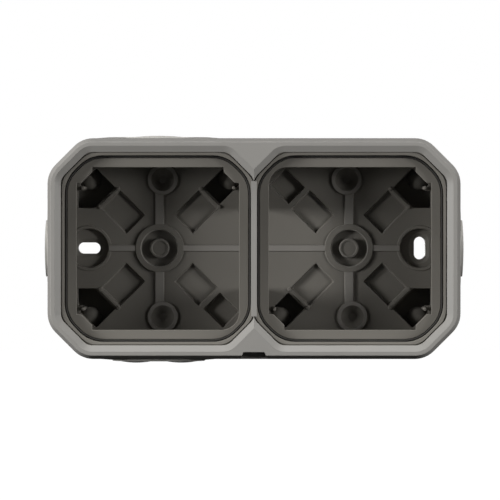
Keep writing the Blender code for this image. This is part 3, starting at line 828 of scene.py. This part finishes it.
def ring_cut(x):
    """The round groove in the hub, which leaves a pin standing in the middle."""
    top = FLOOR + HUB_HEIGHT
    profile = (
        (RING_RADIUS + FORM_EDGE, top + 2 * OVERCUT, 0.0),
        (RING_RADIUS + FORM_EDGE, top, 0.0),
        (RING_RADIUS, top - FORM_EDGE, RING_EDGE_RADIUS),
        (RING_RADIUS, FLOOR - RING_DEPTH, RING_FOOT_RADIUS),
        (PIN_RADIUS, FLOOR - RING_DEPTH, RING_FOOT_RADIUS),
        (PIN_RADIUS, top - FORM_EDGE, RING_EDGE_RADIUS),
        (PIN_RADIUS - FORM_EDGE, top, 0.0),
        (PIN_RADIUS - FORM_EDGE, top + OVERCUT, 0.0),
    )
    points = rounded(profile, EDGE_STEPS, closed=False)
    return solid_at(x, 0.0, [(z, circle_outline(radius)) for radius, z in points])


def slot_cut(gang, x):
    """The fixing slot with its countersink: level in the left gang and upright in the right one."""
    turn = Matrix.Rotation(math.pi / 2 if gang == "right" else 0.0, 2)
    recess_z = FLOOR - FIXING_DEPTH
    profile = (
        (0.0, -OVERCUT, 0.0),
        (0.0, recess_z - SINK_DEPTH, SINK_FOOT_RADIUS),
        (-SINK_WIDTH, recess_z, SINK_EDGE_RADIUS),
        (-SINK_WIDTH - SINK_RUN, recess_z + SINK_RISE, 0.0),
    )
    sections = []
    for inset, z in rounded(profile, EDGE_STEPS, closed=False):
        slot = slot_outline(SLOT_LENGTH - 2 * inset, SLOT_WIDTH - 2 * inset)
        sections.append((z, [turn @ point for point in slot]))
    return solid_at(x, 0.0, sections)


def floor_cuts(gang, x):
    """The ring and dish of the hub, the conical boss recesses, and the fixing slot in its recess."""
    hub_top = FLOOR + HUB_HEIGHT
    boss_top = FLOOR + BOSS_HEIGHT
    fixing_x = x + GANGS[gang] * FIXING_OFFSET
    cuts = [ring_cut(x)]
    cuts.append(recess(
        x, 0.0, hub_top - DISH_DEPTH, hub_top, FORM_EDGE, DISH_BREAK,
        lambda inset: circle_outline(DISH_RADIUS - inset)
    ))
    for up in (1, -1):
        boss_x, boss_y = boss_place(gang, x, up)
        cuts.append(recess(
            boss_x, boss_y, boss_top - CONE_DEPTH, boss_top, CONE_RADIUS - CONE_TIP_RADIUS, CONE_BREAK,
            lambda inset: circle_outline(CONE_RADIUS - inset)
        ))
    cuts.append(recess(
        fixing_x, 0.0, FLOOR - FIXING_DEPTH, FLOOR + FIXING_RIM_HEIGHT, FIXING_TAPER, FORM_EDGE,
        lambda inset: circle_outline(FIXING_RADIUS - inset)
    ))
    cuts.append(slot_cut(gang, fixing_x))
    return cuts


# Back of the floor, which is cored out so that the plastic is of even thickness.
HOLLOW_WIDTH = 26.0
HOLLOW_HEIGHT = 30.0
HOLLOW_OFFSET = 17.0
HOLLOW_RADIUS = 3.0
FLOOR_PLATE = 3.6


def back_cuts(x):
    """Two hollows in the back of one gang, which leave flat webs to bear on the wall."""
    outline = block_outline(HOLLOW_WIDTH, HOLLOW_HEIGHT, HOLLOW_RADIUS)
    sections = [(-OVERCUT, outline), (FLOOR - FLOOR_PLATE, outline)]
    return [solid_at(x, up * HOLLOW_OFFSET, sections) for up in (1, -1)]


# Where each finish goes, told from a face's direction and place: the inside takes the painted shade, and the
# crowns of ribs and bosses the painted light.
SIDE_WALLS, RIM_FRONT, INSIDE, CROWN = range(4)
FACES_FRONT = 0.5
FACE_SLACK = 0.1
CROWN_SLACK = 0.04
CORNER_SLACK = 0.3


def finish_number(face):
    """Which finish a face has: that of the side walls, the rim's front, the inside (painted shade) or the
    crowns (painted light).
    """
    place = face.center
    if face.normal.z > FACES_FRONT:
        heights = (LEVEL_RIB_HEIGHT, UPRIGHT_RIB_HEIGHT, BOSS_HEIGHT)
        if any(abs(place.z - FLOOR - height) < CROWN_SLACK for height in heights):
            return CROWN
        on_bridge = abs(place.x) < BRIDGE_HALF and place.z > LIP_Z - FACE_SLACK
        if on_bridge or place.z > LIP_Z + FACE_SLACK:
            return RIM_FRONT
    in_line = abs(abs(place.x) - GANG_PITCH / 2) < HOLLOW_WIDTH / 2 + FACE_SLACK
    in_hollow = in_line and place.z < FLOOR - FLOOR_PLATE + FACE_SLACK
    to_side = HALF_WIDTH - abs(place.x)
    to_top = HALF_HEIGHT - abs(place.y)
    clear_of_walls = min(to_side, to_top) > CAVITY_INSET - FACE_SLACK
    clear_of_corners = to_side + to_top > CORNER_LEG + CAVITY_INSET * ROOT_TWO - CORNER_SLACK
    in_depth = SOCKET_FLOOR - FACE_SLACK < place.z < LIP_Z + FACE_SLACK
    within = clear_of_walls and clear_of_corners and in_depth
    return INSIDE if within and not in_hollow else SIDE_WALLS


# The shell is joined and cut in turn, and what no cut may trim is added last.
entries = entry_frames()
body = combined(outer_shell(), "UNION", [entry_pad(side, place) for side, place in entries.items()])
body = combined(body, "DIFFERENCE", [cavity_cut()])
standing = [partition(1), partition(-1)]
cuts = [notch_cut()]
added = [bridge_bar()]
for gang_name, gang_side in GANGS.items():
    gang_x = gang_side * GANG_PITCH / 2
    standing += floor_forms(gang_name, gang_x)
    cuts += mouth_cuts(gang_name, gang_x)
    cuts += corner_cuts(gang_name, gang_x)
    cuts += floor_cuts(gang_name, gang_x)
    cuts += back_cuts(gang_x)
    added += corner_forms(gang_name, gang_x)
cuts += [entry_cut(side, place) for side, place in entries.items()]
body = combined(body, "UNION", standing)
body = combined(body, "DIFFERENCE", cuts)
body = combined(body, "UNION", added)
for face in body.data.polygons:
    face.material_index = finish_number(face)
box_moulding = finished(body, "box_moulding", matt_abs)
# The inside and crown finishes carry the painted shade and painted light of the moulding.
for finish in (satin_abs, shaded_inside_abs, lit_crown_abs):
    box_moulding.data.materials.append(finish)
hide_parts("box_body")
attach(box_moulding, "box")

# Rim seals. Dark grey EPDM rubber rings, moulded with a rounded front, pressed into the groove round each
# mouth, where they keep water out between the box and its cover frames.
SEAL_CLEARANCE = 0.15
SEAL_HEIGHT = 1.8
SEAL_FOOT_RADIUS = 0.1
SEAL_FRONT_RADIUS = 0.35

# Rubber from a plain mould: dark grey, dull, with a dusty fine grain.
moulded_epdm = moulded_finish(
    "moulded_dark_grey_epdm", "3e3d3b", "393836",
    mottle_mm=6.0, grain_mm=0.4, grain_depth_mm=0.02, roughness=0.7, sheen=0.05
)

for gang_name, gang_side in GANGS.items():
    outer = SEAT_INSET + SEAL_CLEARANCE
    inner = SEAT_INSET + GROOVE_WIDTH - SEAL_CLEARANCE
    low = SEAT_Z - GROOVE_DEPTH + SEAL_CLEARANCE
    high = low + SEAL_HEIGHT
    corners = (
        (outer, low, SEAL_FOOT_RADIUS),
        (inner, low, SEAL_FOOT_RADIUS),
        (inner, high, SEAL_FRONT_RADIUS),
        (outer, high, SEAL_FRONT_RADIUS),
    )
    profile = rounded(corners, EDGE_STEPS)
    sections = [(z, moved(mouth_outline(inset), gang_side * GANG_PITCH / 2, 0.0)) for inset, z in profile]
    ring = solid(lofted(sections + sections[:1], ring=True))
    seal = finished(ring, gang_name + "_seal_ring", moulded_epdm)
    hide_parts(gang_name + "_rim_seal")
    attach(seal, "box")

# Cable glands. Soft light-grey TPE plugs, moulded in one piece, pushed into the holes in the walls: a
# plate with low domes that are cut open for a cable, and a hollow spigot that grips the hole.
SPIGOT_WALL = 1.5
SPIGOT_REACH = 2.5
SPIGOT_LEAD = 0.5
SPIGOT_RADIUS = 0.2
MEMBRANE = 1.0
MEMBRANE_RADIUS = 0.4
PLATE_EDGE = 0.25
PLATE_BACK_RADIUS = 0.2
HALF_SPACING = 8.4
GLANDS = {  # how far the plate stands proud, where its domes are, their radius, edge and crown
    "top": (0.0, (0.0,), 9.5, 0.1, 0.6),
    "bottom": (0.55, (-HALF_SPACING, HALF_SPACING), 5.8, 0.2, 0.75),
    "left": (0.0, (0.0,), 10.5, 0.8, 1.27),
    "right": (0.0, (0.0,), 10.5, 0.8, 1.27),
}

# TPE from a matt mould: a lighter, warmer grey than the box, dull and a little cloudy.
moulded_tpe = moulded_finish(
    "moulded_light_grey_tpe", "b9b7b2", "b0aea9",
    mottle_mm=8.0, grain_mm=0.5, grain_depth_mm=0.02, roughness=0.7, sheen=0.0
)


def gland_plate(side, proud):
    """The plate and the hollow spigot of a gland, with a lead-in at the tip and a soft edge."""
    tip = -pad_rise(side) - WALL - SPIGOT_REACH
    hollow = SPIGOT_INSET + SPIGOT_WALL
    profile = (
        (hollow + FLAT_RUN, -MEMBRANE, 0.0),
        (hollow, -MEMBRANE, MEMBRANE_RADIUS),
        (hollow, tip, SPIGOT_RADIUS),
        (SPIGOT_INSET, tip, SPIGOT_LEAD),
        (SPIGOT_INSET, -PLATE_THICKNESS, PLATE_BACK_RADIUS),
        (0.0, -PLATE_THICKNESS, PLATE_BACK_RADIUS),
        (0.0, proud, PLATE_EDGE),
        (2 * PLATE_EDGE, proud, 0.0),
    )
    points = rounded(profile, EDGE_STEPS, closed=False)
    return solid(lofted([(z, plate_outline(side, inset)) for inset, z in points]))


for side, (proud, shifts, dome_radius, edge, crown) in GLANDS.items():
    domes = [domed(shift, 0.0, dome_radius, -MEMBRANE / 2, proud + edge, crown - edge) for shift in shifts]
    plug = combined(gland_plate(side, proud), "UNION", domes)
    gland = finished(plug, side + "_gland_plug", moulded_tpe, STAND @ entries[side])
    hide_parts(side + "_cable_gland")
    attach(gland, side + "_gland")

# Studio. A white surround and a pale floor a little under the box, which the camera and reflections see as
# plain white, as in the photograph, and soft boxes at the sides, above and behind.
AMBIENT = 0.04
WHITE = (1.0, 1.0, 1.0, 1.0)


def seen_as_white(tree):
    """1 for what the camera sees straight, in a reflection or through glass, and 0 for other light."""
    paths = add_node(tree, "ShaderNodeLightPath", {}, {})
    mirrored = add_node(
        tree, "ShaderNodeMath", {"operation": "MAXIMUM"},
        {0: paths.outputs["Is Camera Ray"], 1: paths.outputs["Is Glossy Ray"]}
    )
    shown = add_node(
        tree, "ShaderNodeMath", {"operation": "MAXIMUM"},
        {0: mirrored.outputs[0], 1: paths.outputs["Is Transmission Ray"]}
    )
    return shown.outputs[0]


world = bpy.data.worlds.new("studio")
scene.world = world
world.use_nodes = True
sky = world.node_tree
strength = add_node(
    sky, "ShaderNodeMapRange", {"To Min": AMBIENT, "To Max": 1.0}, {"Value": seen_as_white(sky)}
)
background = sky.nodes["Background"]
background.inputs["Color"].default_value = WHITE
sky.links.new(strength.outputs["Result"], background.inputs["Strength"])

# Painted board: matt and dark to the lamps, so that it throws no light up, and plain white to the eye.
painted_board = bpy.data.materials.new("matt_painted_board")
painted_board.use_nodes = True
board = painted_board.node_tree
paint = board.nodes["Principled BSDF"]
paint.inputs["Base Color"].default_value = linear("3a3a3a")
paint.inputs["Roughness"].default_value = 0.9
paint.inputs["Specular IOR Level"].default_value = 0.0
paint.inputs["Emission Color"].default_value = WHITE
board.links.new(seen_as_white(board), paint.inputs["Emission Strength"])

BOARD_REACH = 0.8
BOARD_DROP = 0.02  # clear of the bottom gland when it is pulled out

shape = bmesh.new()
bmesh.ops.create_grid(shape, x_segments=1, y_segments=1, size=BOARD_REACH)
bmesh.ops.translate(shape, verts=shape.verts, vec=(0.0, 0.0, cad_bounds[0][2] - BOARD_DROP))
floor_mesh = bpy.data.meshes.new("floor")
shape.to_mesh(floor_mesh)
shape.free()
floor_mesh.materials.append(painted_board)
floor = bpy.data.objects.new("floor", floor_mesh)
scene.collection.objects.link(floor)

LAMP_DISTANCE = 1.5
LAMP_WIDTH = 0.40
LAMP_HEIGHT = 0.24
LAMPS = {  # the angle round the box, the angle out of the wall, and the power
    "left": (174.0, 24.0, 15.0),
    "left_front": (174.5, 35.0, 7.5),
    "upper_left": (145.0, 20.0, 3.1),
    "right": (6.0, 22.0, 7.5),
    "right_front": (5.5, 38.0, 7.1),
    "top": (90.0, 11.0, 16.5),
    "behind": (180.0, -76.0, 12.0),
}

for name, (around, lift, power) in LAMPS.items():
    lamp = bpy.data.lights.new(name, "AREA")
    lamp.shape = "RECTANGLE"
    lamp.size = LAMP_WIDTH
    lamp.size_y = LAMP_HEIGHT
    lamp.energy = power
    turn = math.radians(around)
    rise = math.radians(lift)
    reach = LAMP_DISTANCE * math.cos(rise)
    soft_box = bpy.data.objects.new(name, lamp)
    soft_box.location = (reach * math.cos(turn), -LAMP_DISTANCE * math.sin(rise), reach * math.sin(turn))
    soft_box.rotation_euler = (-soft_box.location).to_track_quat("-Z", "Z").to_euler()
    soft_box.visible_camera = False
    scene.collection.objects.link(soft_box)

scene.view_settings.view_transform = "Standard"
